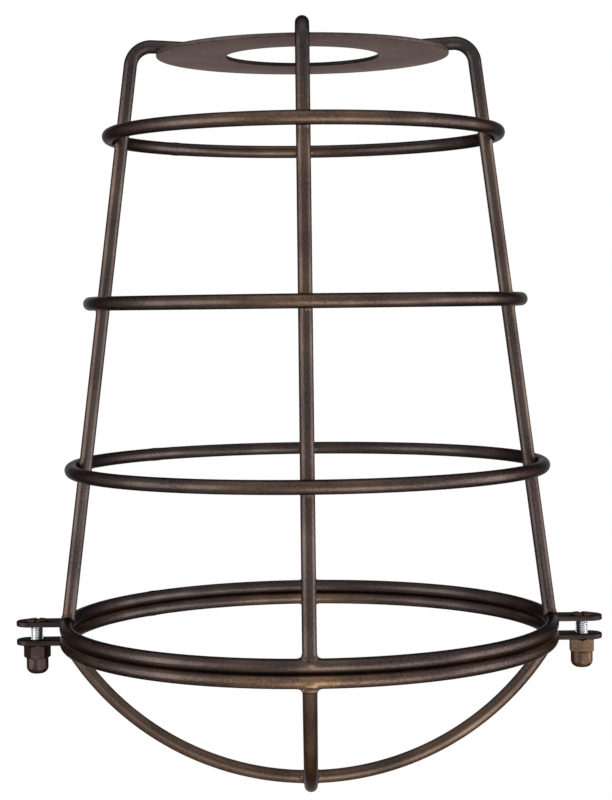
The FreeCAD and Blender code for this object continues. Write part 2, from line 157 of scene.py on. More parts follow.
def oil_rubbed_bronze(name, grain_source, grain_cell, coat_colours, edge, roughness, relief):
    """Dark brown satin coating, wiped by hand: fine grain, cloudy patches, copper brown wear and
    painted highlights, and nearly black painted shade.

    grain_cell is the length, width and depth of one grain mark in the units of its source. The
    coat's two colours follow the grain, edge tints what is seen at a glancing angle, and the
    roughness goes from its first to its second value over the cloudy patches. relief is the height
    of the grain and of the coating's orange peel.
    """
    material, tree = new_material(name)
    coords = add_node(tree, "ShaderNodeTexCoord", {})
    run = add_node(tree, "ShaderNodeUVMap", {}, uv_map="run")
    source = run.outputs["UV"] if grain_source == "run" else coords.outputs["Object"]
    stretched = add_node(tree, "ShaderNodeMapping",
                         {"Vector": source, "Scale": [1.0 / side for side in grain_cell]})
    grain = add_node(tree, "ShaderNodeTexNoise",
                     {"Vector": stretched.outputs["Vector"], "Scale": 1.0, "Detail": 3.0})
    # cloudy patches about 14 mm across, left by wiping
    clouds = add_node(tree, "ShaderNodeTexNoise",
                      {"Vector": coords.outputs["Object"], "Scale": 1.0 / CLOUD_SIZE,
                       "Detail": 4.0})
    # orange-peel grain of the coating, drawn 0.6 mm across so that it shows
    peel = add_node(tree, "ShaderNodeTexNoise",
                    {"Vector": coords.outputs["Object"], "Scale": 1.0 / PEEL_SIZE, "Detail": 2.0})
    dark = add_node(tree, "ShaderNodeMapRange",
                    {"Value": grain.outputs["Fac"], "From Min": 0.32, "From Max": 0.68})
    coat = add_node(tree, "ShaderNodeMix",
                    {0: dark.outputs["Result"], 6: srgb(coat_colours[0]), 7: srgb(coat_colours[1])},
                    data_type="RGBA")
    # a greyer haze where the cloth left a film
    haze = add_node(tree, "ShaderNodeMapRange",
                    {"Value": clouds.outputs["Fac"], "From Min": 0.45, "From Max": 0.75,
                     "To Max": 0.45})
    hazy = add_node(tree, "ShaderNodeMix",
                    {0: haze.outputs["Result"], 6: coat.outputs[2], 7: srgb(HAZE_COLOUR)},
                    data_type="RGBA")
    # copper brown where it is rubbed, and where highlights and light are painted, broken up by the
    # peel and the patches
    wear_and_light = add_node(tree, "ShaderNodeAttribute", {}, attribute_name="wear_and_painted_light")
    speckled = add_node(tree, "ShaderNodeMath",
                        {0: peel.outputs["Fac"], 1: 0.6, 2: clouds.outputs["Fac"]},
                        operation="MULTIPLY_ADD")
    patchy = add_node(tree, "ShaderNodeMapRange",
                      {"Value": speckled.outputs["Value"], "From Min": 0.5, "From Max": 1.05})
    rubbed = add_node(tree, "ShaderNodeMath",
                      {0: wear_and_light.outputs["Fac"], 1: patchy.outputs["Result"]}, operation="MULTIPLY")
    colour = add_node(tree, "ShaderNodeMix",
                      {0: rubbed.outputs["Value"], 6: hazy.outputs[2], 7: srgb(COPPER_COLOUR)},
                      data_type="RGBA")
    # nearly black where oil has gathered, and where shade is painted
    oil_and_shade = add_node(tree, "ShaderNodeMapRange",
                    {"Value": wear_and_light.outputs["Fac"], "From Min": 0.0, "From Max": -1.0})
    finish = add_node(tree, "ShaderNodeMix",
                      {0: oil_and_shade.outputs["Result"], 6: colour.outputs[2], 7: srgb(OIL_AND_SHADE_COLOUR)},
                      data_type="RGBA")
    satin = add_node(tree, "ShaderNodeMapRange",
                     {"Value": clouds.outputs["Fac"], "From Min": 0.3, "From Max": 0.7,
                      "To Min": roughness[0], "To Max": roughness[1]})
    drawn = add_node(tree, "ShaderNodeBump",
                     {"Height": grain.outputs["Fac"], "Strength": 0.25, "Distance": relief})
    bumpy = add_node(tree, "ShaderNodeBump",
                     {"Height": peel.outputs["Fac"], "Normal": drawn.outputs["Normal"],
                      "Strength": 0.25, "Distance": relief})
    shader = add_node(tree, "ShaderNodeBsdfPrincipled",
                      {"Base Color": finish.outputs[2], "Metallic": 1.0,
                       "Roughness": satin.outputs["Result"], "Normal": bumpy.outputs["Normal"],
                       "Specular Tint": srgb(edge)})
    tree.links.new(shader.outputs["BSDF"], tree.nodes["Material Output"].inputs["Surface"])
    return material


def ring_skin(radii, heights, turns):
    """Rings about the cage's axis: radius times cos and sin of the turn, at the ring's height."""
    across = np.broadcast_to(radii, (len(heights), len(turns)))
    level = np.broadcast_to(np.asarray(heights)[:, None], across.shape)
    return np.stack([across * np.cos(turns), across * np.sin(turns), level], axis=-1)


def rounded_section(inner, outer, low, high, rounding):
    """Outline of a rectangle with round corners, from its outer foot up, inward, down and back.

    Each corner is a quarter circle: its centre plus the rounding times cos and sin of the angle.
    """
    quarter = np.radians(np.linspace(0.0, 90.0, CORNER_STEPS))
    angles = np.concatenate([quarter - np.pi / 2, quarter, quarter + np.pi / 2, quarter + np.pi])
    sides = np.array([outer - rounding, outer - rounding, inner + rounding, inner + rounding])
    levels = np.array([low + rounding, high - rounding, high - rounding, low + rounding])
    return (np.repeat(sides, CORNER_STEPS) + rounding * np.cos(angles),
            np.repeat(levels, CORNER_STEPS) + rounding * np.sin(angles))


# the rolled sheet's grain, drawn 1 mm across so that it shows
bronze_plate = oil_rubbed_bronze(
    "oil_rubbed_bronze_plate", "object", (1.0 * MM, 1.0 * MM, 1.0 * MM),
    ("#483D3C", "#5D504E"), "#CFC3C3", (0.56, 0.48), 0.05 * MM)
plate_low, plate_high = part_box("fitter_plate")
plate_radii, plate_heights = rounded_section(
    PLATE_HOLE_RADIUS, plate_high.x, plate_low.z, plate_high.z, PLATE_EDGE_ROUNDING)
plate_turns = np.linspace(0.0, 2.0 * np.pi, PLATE_COLUMNS, endpoint=False)
plate_grid = ring_skin(plate_radii[:, None], plate_heights, plate_turns)
on_hole = plate_radii < PLATE_HOLE_RADIUS + PLATE_EDGE_ROUNDING / 2
on_rim = plate_radii > plate_high.x - PLATE_EDGE_ROUNDING / 2
# painted shade: the wall of the hole and the rim are darkened towards the oil colour
plate_wear_and_shade = np.select([on_hole, on_rim], [PLATE_HOLE_SHADE, PLATE_RIM_SHADE], PLATE_FACE_WEAR)
plate = add_piece("plate", [(plate_grid, plate_wear_and_shade[:, None])], bronze_plate, loop=True)
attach(plate, "root")
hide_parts("fitter_plate")

# Legs: four lengths of drawn steel wire, each bent once between an arm, which dips a little towards
# the plate, and a straight leg that leans outward. The arm is welded on top of the plate, and the
# foot on top of the rim hoop. The metal runs into a small fillet at every weld.
WIRE_RADIUS = 1.825 * MM
ARM_INNER_RADIUS = 32.3 * MM
ARM_DIP = np.radians(3.6)
WELD_BITE = 0.25 * MM
SHOULDER_RADIUS = 46.2 * MM
BEND_RADIUS = 5.7 * MM
CUT_ROUNDING = 0.25 * MM
FOOT_SINK = 1.2 * MM
FILLET_REACH = 1.5 * MM
LEG_ROWS = 420
CUT_ROWS = 6
LEG_TURNS = {"right": 0.0, "back": 90.0, "left": 180.0, "front": 270.0}
# angles round a wire, and a share that is 1 on the outside of its curve and 0 on the inside
WIRE_COLUMNS = 32
AROUND_WIRE = np.linspace(0.0, 2.0 * np.pi, WIRE_COLUMNS, endpoint=False)
OUTSIDE_OF_WIRE = 0.5 + 0.5 * np.cos(AROUND_WIRE)
# wear of a leg: at its foot, more up to its top and at each hoop, and painted shade that darkens
# its bend
FOOT_RUB = 0.08
TOP_RUB = 0.16
CROSSING_RUB = 0.12
CROSSING_RUB_REACH = 4.0 * MM
BEND_SHADE = 0.35
BEND_SHADE_REACH = 12.0 * MM
LEG_INSIDE_SHARE = 0.3


def wire_skin(centre, tangent, outward, radius, gaps=()):
    """Rings round a path: its point, plus radius times cos(a) outward and sin(a) sideways.

    Sideways is square to the path and to outward, and a goes once round the wire. Near a weld the
    skin swells along its spokes by the square of (root of the fillet's reach - root of the gap),
    where each gap function measures the distance from a point to the skin of the other wire. Two
    skins at a right angle then meet in one smooth fillet, at a quarter of the reach from both.
    """
    sideways = np.cross(tangent, outward)
    spokes = (np.cos(AROUND_WIRE)[:, None] * outward[:, None, :]
              + np.sin(AROUND_WIRE)[:, None] * sideways[:, None, :])
    grid = centre[:, None, :] + np.reshape(radius, (-1, 1, 1)) * spokes
    for gap in gaps:
        near = np.clip(gap(grid), FILLET_REACH / 4.0, FILLET_REACH)
        grid = grid + ((np.sqrt(FILLET_REACH) - np.sqrt(near)) ** 2)[..., None] * spokes
    return grid


def cut_length(length, rows):
    """Places along a cut wire and its radius there, with close rows over the broken edges.

    Within the rounding of an end, the edge is a quarter circle down to the flat of the cut.
    """
    edge = CUT_ROUNDING * (1.0 - np.cos(np.linspace(0.0, np.pi / 2, CUT_ROWS)))
    places = np.concatenate([edge, np.linspace(0.0, length, rows)[1:-1], length - edge[::-1]])
    inside = np.minimum(places, length - places)
    short = np.clip(CUT_ROUNDING - inside, 0.0, CUT_ROUNDING)
    return places, WIRE_RADIUS - CUT_ROUNDING + np.sqrt(CUT_ROUNDING ** 2 - short ** 2)


def turned(points, degrees):
    """Turn points about the cage's axis by a rotation matrix."""
    cosine, sine = np.cos(np.radians(degrees)), np.sin(np.radians(degrees))
    return points @ np.array([[cosine, sine, 0.0], [-sine, cosine, 0.0], [0.0, 0.0, 1.0]])


def hoop_gap(node):
    """Gap to a hoop: distance to its centre circle, less the wire's radius."""
    radius, height = hoop_places[node]

    def gap(points):
        from_circle = np.hypot(points[..., 0], points[..., 1]) - radius
        return np.hypot(from_circle, points[..., 2] - height) - WIRE_RADIUS

    return gap


hoop_places = {}
for node in ("hoop_upper", "hoop_middle", "hoop_lower", "rim_hoop", "guard_hoop"):
    hoop_low, hoop_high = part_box(node)
    hoop_places[node] = (hoop_high.x - WIRE_RADIUS, (hoop_low.z + hoop_high.z) / 2)
# marks of the drawing die, 0.9 mm along the wire and 0.45 mm round it so that they show
bronze_wire = oil_rubbed_bronze(
    "oil_rubbed_bronze_wire", "run", (0.9, 0.45, 1.0),
    ("#282121", "#3F3838"), "#959597", (0.40, 0.30), 0.02 * MM)
rim_radius, rim_height = hoop_places["rim_hoop"]
arm_tip_height = plate_high.z + WIRE_RADIUS - WELD_BITE
shoulder_height = arm_tip_height + (SHOULDER_RADIUS - ARM_INNER_RADIUS) * np.tan(ARM_DIP)
lean = np.arctan2(rim_radius - SHOULDER_RADIUS, shoulder_height - rim_height)
bend_angle = np.pi / 2 - lean + ARM_DIP
bend_setback = BEND_RADIUS * np.tan(bend_angle / 2)
arm_length = (SHOULDER_RADIUS - ARM_INNER_RADIUS) / np.cos(ARM_DIP) - bend_setback
bend_length = BEND_RADIUS * bend_angle
straight_length = (np.hypot(rim_radius - SHOULDER_RADIUS, shoulder_height - rim_height)
                   - bend_setback - FOOT_SINK)
leg_places, leg_radii = cut_length(arm_length + bend_length + straight_length, LEG_ROWS)
# up the arm, round the bend by an angle, then down the straight
on_arm = np.minimum(leg_places, arm_length)
heading = ARM_DIP - np.clip(leg_places - arm_length, 0.0, bend_length) / BEND_RADIUS
on_straight = np.maximum(leg_places - arm_length - bend_length, 0.0)
leg_centre = np.stack(
    [ARM_INNER_RADIUS + on_arm * np.cos(ARM_DIP)
     + BEND_RADIUS * (np.sin(ARM_DIP) - np.sin(heading)) + on_straight * np.sin(lean),
     np.zeros_like(leg_places),
     arm_tip_height + on_arm * np.sin(ARM_DIP)
     - BEND_RADIUS * (np.cos(ARM_DIP) - np.cos(heading)) - on_straight * np.cos(lean)], axis=-1)
zero = np.zeros_like(heading)
leg_tangent = np.stack([np.cos(heading), zero, np.sin(heading)], axis=-1)
leg_outward = np.stack([-np.sin(heading), zero, np.cos(heading)], axis=-1)
leg_gaps = [hoop_gap(node) for node in hoop_places if node != "guard_hoop"]
leg_grid = wire_skin(leg_centre, leg_tangent, leg_outward, leg_radii, leg_gaps)
from_bend = (leg_places - arm_length - bend_length / 2) / BEND_SHADE_REACH
leg_climb = np.clip(1.0 - leg_centre[:, 2] / rim_height, 0.0, 1.0)
# painted shade: the bend is pulled towards the oil colour
leg_rub_and_shade = FOOT_RUB + TOP_RUB * leg_climb - BEND_SHADE * np.exp(-from_bend ** 2)
for _, hoop_height in hoop_places.values():
    from_hoop = (leg_centre[:, 2] - hoop_height) / CROSSING_RUB_REACH
    leg_rub_and_shade = leg_rub_and_shade + CROSSING_RUB * np.exp(-from_hoop ** 2)
leg_share = LEG_INSIDE_SHARE + (1.0 - LEG_INSIDE_SHARE) * OUTSIDE_OF_WIRE
leg_wear_and_shade = leg_share * leg_rub_and_shade[:, None]
for side, degrees in LEG_TURNS.items():
    leg = add_piece(f"leg_wire_{side}", [(turned(leg_grid, degrees), leg_wear_and_shade)], bronze_wire)
    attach(leg, "root")
    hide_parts(f"leg_{side}")

# Hoops: five rings of the same wire, each rolled to a circle and butt-welded, with the joint
# dressed nearly flush. Three lie round the outside of the legs, the fourth is the cage's rim,
# and the fifth is the top of the guard that is clamped below it.
BUTT_WELD_TURN = np.radians(135.0)
BUTT_WELD_RISE = 0.10 * MM
BUTT_WELD_HALF_LENGTH = 1.3 * MM
COATING = 0.03 * MM
BOW_OVERREACH = 0.9 * MM
HOOP_ROWS = 880
# wear of a hoop: all round and more at each weld, and a copper brown painted highlight at the
# front, as the photograph shows it, and at the back, which is taken to match
HOOP_RUB = 0.08
WELD_RUB = 0.1
WELD_RUB_REACH = 3.5 * MM
FRONT_BACK_HIGHLIGHT = {"hoop_upper": 0.5, "hoop_middle": 0.4, "hoop_lower": 0.2, "rim_hoop": 0.1,
                  "guard_hoop": 0.85}
FRONT_BACK_HIGHLIGHT_REACH = 25.0 * MM
HOOP_INSIDE_SHARE = 0.5
# side on which the rim and the guard touch, where light is painted in copper brown: 1 below, -1
# above
CREASE_LIGHT_SIDE = {"rim_hoop": 1.0, "guard_hoop": -1.0}


def hoop_skin(radius, height, gaps):
    """A ring of wire: its path is radius times cos and sin of the turn, at one height.

    The wire swells by a bell curve where its two ends are welded together, and its coating closes
    the hair's breadth between the rim and the guard.
    """
    turns = np.linspace(0.0, 2.0 * np.pi, HOOP_ROWS, endpoint=False)
    zero = np.zeros_like(turns)
    outward = np.stack([np.cos(turns), np.sin(turns), zero], axis=-1)
    tangent = np.stack([-np.sin(turns), np.cos(turns), zero], axis=-1)
    centre = radius * outward + np.array([0.0, 0.0, height])
    from_weld = radius * (turns - BUTT_WELD_TURN)
    swell = BUTT_WELD_RISE * np.exp(-((from_weld / BUTT_WELD_HALF_LENGTH) ** 2))
    return wire_skin(centre, tangent, outward, WIRE_RADIUS + COATING + swell, gaps), turns


def legs_gap(points):
    """Gap to the nearest leg: distance to its straight part, less the wire's radius."""
    foot = np.array([rim_radius, 0.0, rim_height])
    upward = np.array([-np.sin(lean), 0.0, np.cos(lean)])
    gaps = []
    for degrees in LEG_TURNS.values():
        offset = turned(points, -degrees) - foot
        climb = np.maximum(offset @ upward, WIRE_RADIUS)
        gaps.append(np.linalg.norm(offset - climb[..., None] * upward, axis=-1) - WIRE_RADIUS)
    return np.min(gaps, axis=0)


def bow_gap(points):
    """Gap to the side bow: distance to the nearest point of its arc, less the wire's radius."""
    angle = np.arctan2(points[..., 0], bow_centre - points[..., 2])
    angle = np.clip(angle, -bow_weld_angle, bow_weld_angle)
    nearest = np.stack([bow_radius * np.sin(angle), np.zeros_like(angle),
                        bow_centre - bow_radius * np.cos(angle)], axis=-1)
    return np.linalg.norm(points - nearest, axis=-1) - WIRE_RADIUS


def cross_bow_gap(points):
    """Gap to the half bows, which are the side bow turned a quarter round the cage's axis."""
    return bow_gap(turned(points, 90.0))


guard_radius, guard_height = hoop_places["guard_hoop"]
bow_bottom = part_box("bow_side")[0].z + WIRE_RADIUS
bow_sag = guard_height - bow_bottom
bow_half_span = guard_radius + BOW_OVERREACH
bow_radius = (bow_half_span ** 2 + bow_sag ** 2) / (2.0 * bow_sag)
bow_centre = bow_bottom + bow_radius
bow_hoop_angle = np.arctan2(guard_radius, bow_centre - guard_height)
bow_weld_angle = bow_hoop_angle - WIRE_RADIUS / bow_radius
for node, (hoop_radius, hoop_height) in hoop_places.items():
    hoop_gaps = [bow_gap, cross_bow_gap] if node == "guard_hoop" else [legs_gap]
    hoop_grid, hoop_turns = hoop_skin(hoop_radius, hoop_height, hoop_gaps)
    from_leg = hoop_radius * np.abs((hoop_turns + np.pi / 4) % (np.pi / 2) - np.pi / 4)
    # painted highlight: copper brown on the front and back of each hoop, near the legs
    front_back_highlight = np.sin(hoop_turns) ** 2 * np.exp(-((from_leg / FRONT_BACK_HIGHLIGHT_REACH) ** 2))
    welded = np.exp(-((from_leg / WELD_RUB_REACH) ** 2))
    hoop_rub_and_highlight = HOOP_RUB + WELD_RUB * welded + FRONT_BACK_HIGHLIGHT[node] * front_back_highlight
    # most on the crown and less on the inside, with painted light in copper brown on the faces
    # where the rim and the guard touch
    hoop_share = np.maximum(np.cos(AROUND_WIRE), -HOOP_INSIDE_SHARE * np.cos(AROUND_WIRE))
    crease_light = np.clip(CREASE_LIGHT_SIDE.get(node, 0.0) * np.sin(AROUND_WIRE), 0.0, 1.0)
    hoop_wear_and_light = np.maximum(hoop_share * hoop_rub_and_highlight[:, None], crease_light ** 4)
    hoop = add_piece(f"{node}_wire", [(hoop_grid, hoop_wear_and_light)], bronze_wire, loop=True)
    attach(hoop, "root")
    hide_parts(node)

# Bows: the arcs of wire that close the guard below. One runs from side to side in a single
# length, and two half arcs meet it at the bottom. All are welded under the guard hoop.
BOW_SINK = 1.2 * MM
BOW_BUTT = 0.5 * MM
SIDE_BOW_ROWS = 400
HALF_BOW_ROWS = 200
# wear of a bow: all along, and more at its bottom
BOW_RUB = 0.3
BOW_BOTTOM_RUB = 0.15
BOW_INSIDE_SHARE = 0.6


def bow_skin(first_angle, last_angle, rows, gaps):
    """Wire on a hanging arc: radius times sin(angle) outward and cos(angle) down from its centre.

    Its wear grows towards the bottom with the fourth power of cos(angle).
    """
    places, radii = cut_length(bow_radius * (last_angle - first_angle), rows)
    angles = first_angle + places / bow_radius
    zero = np.zeros_like(angles)
    outward = np.stack([np.sin(angles), zero, -np.cos(angles)], axis=-1)
    tangent = np.stack([np.cos(angles), zero, np.sin(angles)], axis=-1)
    centre = bow_radius * outward + np.array([0.0, 0.0, bow_centre])
    rub = BOW_RUB + BOW_BOTTOM_RUB * np.cos(angles) ** 4
    share = BOW_INSIDE_SHARE + (1.0 - BOW_INSIDE_SHARE) * OUTSIDE_OF_WIRE
    return wire_skin(centre, tangent, outward, radii, gaps), share * rub[:, None]


bow_end = bow_hoop_angle - BOW_SINK / bow_radius
bow_start = (WIRE_RADIUS - BOW_BUTT) / bow_radius
bow_gaps = [hoop_gap("guard_hoop"), cross_bow_gap]
half_bow_grid, half_bow_wear = bow_skin(bow_start, bow_end, HALF_BOW_ROWS, bow_gaps)
bow_skins = {"side": bow_skin(-bow_end, bow_end, SIDE_BOW_ROWS, bow_gaps),
             "front": (turned(half_bow_grid, 270.0), half_bow_wear),
             "back": (turned(half_bow_grid, 90.0), half_bow_wear)}
for side, skin in bow_skins.items():
    bow = add_piece(f"bow_wire_{side}", [skin], bronze_wire)
    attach(bow, "root")
    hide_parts(f"bow_{side}")

# Clamp ears: short strips of sheet steel with a round end, welded to the outside of the two
# bottom hoops at left and right. A screw goes through each pair, and oil has darkened them.
EAR_HALF_WIDTH = 3.8 * MM
EAR_ROUNDING = 0.25 * MM
EAR_SINK = 0.4 * MM
EAR_END_COLUMNS = 48
EAR_SIDE_COLUMNS = 16
EAR_ROOT_COLUMNS = 14
EAR_EDGE_ROWS = 6
SCREW_INSET = 5.6 * MM
SCREW_RADIUS = 1.75 * MM
SCREW_CLEARANCE = 0.1 * MM
HEAD_RADIUS = 3.05 * MM
LOWER_MOUTH = 0.35 * MM
EAR_WEAR = -0.3


def ear_skin(tip, low, high, top_mouth):
    """A strip with a round end and a hole, as rings of its outline drawn in towards the hole.

    Each ring is a mix of the outline and of the circle round the screw's axis at the same angle,
    and the rings go up the outside, inward over the top, down the hole and out underneath.
    """
    end_centre = tip - EAR_HALF_WIDTH
    root = guard_radius + EAR_SINK
    end_angles = np.linspace(-np.pi / 2, np.pi / 2, EAR_END_COLUMNS)
    straight = np.linspace(0.0, 1.0, EAR_SIDE_COLUMNS, endpoint=False)[1:]
    across = np.linspace(1.0, -1.0, EAR_ROOT_COLUMNS)
    outline_x = np.concatenate([end_centre + EAR_HALF_WIDTH * np.cos(end_angles),
                                end_centre + (root - end_centre) * straight,
                                np.full_like(across, root),
                                root + (end_centre - root) * straight])
    outline_y = EAR_HALF_WIDTH * np.concatenate([np.sin(end_angles), np.ones_like(straight), across,
                                                 -np.ones_like(straight)])
    axis = tip - SCREW_INSET
    reach = np.hypot(outline_x - axis, outline_y)
    angle = np.arctan2(outline_y, outline_x - axis)
    quarter = np.radians(np.linspace(0.0, 90.0, EAR_EDGE_ROWS))
    inset = EAR_ROUNDING * np.concatenate([1.0 - np.sin(quarter), 1.0 - np.cos(quarter)])
    heights = np.concatenate([low + EAR_ROUNDING * (1.0 - np.cos(quarter)),
                              high - EAR_ROUNDING * (1.0 - np.sin(quarter))])
    outside = reach - inset[:, None]
    hole = SCREW_RADIUS + SCREW_CLEARANCE
    sink = max(high - (top_mouth - hole), low + EAR_ROUNDING)
    hole_rows = np.broadcast_to(np.array([[top_mouth], [hole], [hole]]), (3, len(reach)))
    radii = np.concatenate([outside, hole_rows])
    levels = np.concatenate([heights, [high, sink, low]])
    return np.stack([axis + radii * np.cos(angle), radii * np.sin(angle),
                     np.broadcast_to(levels[:, None], radii.shape)], axis=-1)


# marks of the rolls, drawn 6 mm long and 0.8 mm wide so that they show
bronze_sheet = oil_rubbed_bronze(
    "oil_rubbed_bronze_sheet", "object", (6.0 * MM, 0.8 * MM, 0.8 * MM),
    ("#251D1C", "#372D2B"), "#8E8D8E", (0.5, 0.4), 0.05 * MM)
for side, degrees in (("right", 0.0), ("left", 180.0)):
    for level, mouth in (("upper", HEAD_RADIUS), ("lower", SCREW_RADIUS + LOWER_MOUTH)):
        ear_low, ear_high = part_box(f"{level}_tab_{side}")
        ear_tip = max(abs(ear_low.x), abs(ear_high.x))
        ear_grid = turned(ear_skin(ear_tip, ear_low.z, ear_high.z, mouth), degrees)
        ear = add_piece(f"{level}_ear_{side}", [(ear_grid, EAR_WEAR)], bronze_sheet, loop=True)
        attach(ear, "root")
        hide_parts(f"{level}_tab_{side}")

# Weld seams: straight beads of metal where the arms lie on the plate, where the ears meet their
# hoops, and over the cut end of each bow. They are finished with the rest, and rubbed brighter.
ARM_SEAM = (33.2 * MM, 37.6 * MM)
ARM_SEAM_OFFSET = 1.5 * MM
ARM_SEAM_RADIUS = 0.65 * MM
EAR_SEAM_HALF_LENGTH = 3.6 * MM
EAR_SEAM_RADIUS = 0.6 * MM
BOW_SEAM_HALF_LENGTH = 2.2 * MM
BOW_SEAM_RADIUS = 0.9 * MM
BOW_SEAM_DEPTH = 1.1 * MM
SEAM_LIFT = 0.1 * MM
SEAM_ROWS = 24
SEAM_BLUNTNESS = 0.06
SEAM_WEAR = 0.4


def seam_bead(start, end, outward, radius):
    """A straight bead from start to end, with a radius that swells as half an ellipse.

    The rows go by equal angles round the ellipse, and stop short of its ends by a small angle.
    """
    start, end = np.asarray(start), np.asarray(end)
    share = 0.5 - 0.5 * np.cos(np.linspace(SEAM_BLUNTNESS, np.pi - SEAM_BLUNTNESS, SEAM_ROWS))
    path = start + share[:, None] * (end - start)
    tangent = np.broadcast_to((end - start) / np.linalg.norm(end - start), path.shape)
    outward = np.broadcast_to(np.asarray(outward), path.shape)
    return wire_skin(path, tangent, outward, 2.0 * radius * np.sqrt(share * (1.0 - share)))


seams = []
for degrees in LEG_TURNS.values():
    for offset in (-ARM_SEAM_OFFSET, ARM_SEAM_OFFSET):
        ends = [(place, offset, plate_high.z + SEAM_LIFT) for place in ARM_SEAM]
        seams.append(turned(seam_bead(*ends, (0.0, 0.0, 1.0), ARM_SEAM_RADIUS), degrees))
for degrees in (0.0, 180.0):
    for level, height in (("upper", rim_height), ("lower", guard_height)):
        ear_low, ear_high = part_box(f"{level}_tab_right")
        for face in (ear_low.z, ear_high.z):
            reach = guard_radius + np.sqrt(max(WIRE_RADIUS ** 2 - (face - height) ** 2, 0.0))
            ends = [(reach, way * EAR_SEAM_HALF_LENGTH, face) for way in (-1.0, 1.0)]
            seams.append(turned(seam_bead(*ends, (1.0, 0.0, 0.0), EAR_SEAM_RADIUS), degrees))
bow_seam_reach = bow_radius + BOW_SEAM_DEPTH
bow_seam_x = bow_seam_reach * np.sin(bow_end)
bow_seam_z = bow_centre - bow_seam_reach * np.cos(bow_end)
for degrees in LEG_TURNS.values():
    ends = [(bow_seam_x, way * BOW_SEAM_HALF_LENGTH, bow_seam_z) for way in (-1.0, 1.0)]
    seams.append(turned(seam_bead(*ends, (1.0, 0.0, 0.0), BOW_SEAM_RADIUS), degrees))
welds = add_piece("weld_seams", [(seam, SEAM_WEAR) for seam in seams], bronze_wire)
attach(welds, "root")

# Screws: countersunk steel screws with a slotted head, bright zinc plated. The head lies in the
# upper ear and was finished over with it, and the rolled thread shows bright between the ears.
THREAD_PITCH = 0.6 * MM
THREAD_DEPTH = 0.32 * MM
THREAD_RUNOUT = 0.5 * MM
THREAD_ROWS = 12
THREAD_COLUMNS = 60
SHANK_OVERLAP = 0.1 * MM
SLOT_HALF_WIDTH = 0.45 * MM
SLOT_DEPTH = 0.6 * MM
SLOT_COLUMNS = 8
LAND_COLUMNS = 19
FACE_ROWS = 12
HEAD_RISE = 0.3 * MM
HEAD_WEAR = 0.3
SPANGLE_SIZE = 0.5 * MM


def bright_zinc(name):
    """Thin bright zinc plate on steel: a pale bluish mirror, dulled by spangle and handling."""
    material, tree = new_material(name)
    coords = add_node(tree, "ShaderNodeTexCoord", {})
    # spangle about 0.5 mm across
    spangle = add_node(tree, "ShaderNodeTexNoise",
                       {"Vector": coords.outputs["Object"], "Scale": 1.0 / SPANGLE_SIZE,
                        "Detail": 3.0})
    colour = add_node(tree, "ShaderNodeMix",
                      {0: spangle.outputs["Fac"], 6: srgb("#B9BABC"), 7: srgb("#E4E5E6")},
                      data_type="RGBA")
    dulled = add_node(tree, "ShaderNodeMapRange",
                      {"Value": spangle.outputs["Fac"], "From Min": 0.3, "From Max": 0.7,
                       "To Min": 0.22, "To Max": 0.36})
    shader = add_node(tree, "ShaderNodeBsdfPrincipled",
                      {"Base Color": colour.outputs[2], "Metallic": 1.0,
                       "Roughness": dulled.outputs["Result"]})
    tree.links.new(shader.outputs["BSDF"], tree.nodes["Material Output"].inputs["Surface"])
    return material


def shank_skin(axis, tip, top):
    """Rings up a thread, whose radius falls and rises as a triangle wave.

    The wave's phase is the height over the pitch, less the turn over a full circle, and it fades
    out at both ends.
    """
    heights = np.arange(tip, top, THREAD_PITCH / THREAD_ROWS)
    turns = np.linspace(0.0, 2.0 * np.pi, THREAD_COLUMNS, endpoint=False)
    phase = (heights[:, None] / THREAD_PITCH - turns / (2.0 * np.pi)) % 1.0
    fade = np.clip(np.minimum(heights - tip, top - heights) / THREAD_RUNOUT, 0.0, 1.0)
    groove = THREAD_DEPTH * np.abs(2.0 * phase - 1.0) * fade[:, None]
    bevel = THREAD_DEPTH * np.clip(1.0 - (heights - tip) / THREAD_RUNOUT, 0.0, 1.0)
    radii = SCREW_RADIUS - groove - bevel[:, None]
    return np.stack([axis + radii * np.cos(turns), radii * np.sin(turns),
                     np.broadcast_to(heights[:, None], radii.shape)], axis=-1)


def head_skin(axis, neck, top):
    """Rings up the cone of a screw head and in over its slotted face.

    On each ring the columns slide so that four of them follow the slot's edges, at the arcsine of
    the slot's half width over the ring's radius, and those between them lie at the slot's bottom.
    The last ring is hardly wider than the slot.
    """
    face_radii = np.linspace(HEAD_RADIUS, SLOT_HALF_WIDTH * 1.02, FACE_ROWS)
    ring_radii = np.append([SCREW_RADIUS, HEAD_RADIUS], face_radii)
    half_slot = np.arcsin(SLOT_HALF_WIDTH / ring_radii)[:, None]
    land = np.linspace(-1.0, 1.0, LAND_COLUMNS) * (np.pi / 2 - half_slot)
    slot = np.pi / 2 + np.linspace(-1.0, 1.0, SLOT_COLUMNS) * half_slot
    turns = np.concatenate([land, slot, land + np.pi, slot + np.pi], axis=1)
    sunk = np.tile(np.repeat([0.0, SLOT_DEPTH], [LAND_COLUMNS, SLOT_COLUMNS]), 2)
    heights = np.full(turns.shape, top) - sunk
    heights[0] = neck
    heights[1] = np.minimum(top - HEAD_RISE, top - sunk)
    radii = np.broadcast_to(ring_radii[:, None], turns.shape)
    return np.stack([axis + radii * np.cos(turns), radii * np.sin(turns), heights], axis=-1)


zinc = bright_zinc("bright_zinc_plate")
for side, degrees in (("right", 0.0), ("left", 180.0)):
    screw_low, screw_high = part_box(f"screw_{side}")
    screw_axis = abs(screw_low.x + screw_high.x) / 2
    screw_neck = screw_high.z - (HEAD_RADIUS - SCREW_RADIUS)
    shank_grid = turned(shank_skin(screw_axis, screw_low.z, screw_neck + SHANK_OVERLAP), degrees)
    shank = add_piece(f"threaded_shank_{side}", [(shank_grid, 0.0)], zinc)
    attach(shank, "root")
    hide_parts(f"screw_{side}")
    head_grid = turned(head_skin(screw_axis, screw_neck, screw_high.z + HEAD_RISE), degrees)
    head = add_piece(f"slotted_head_{side}", [(head_grid, HEAD_WEAR)], bronze_sheet)
    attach(head, "root")

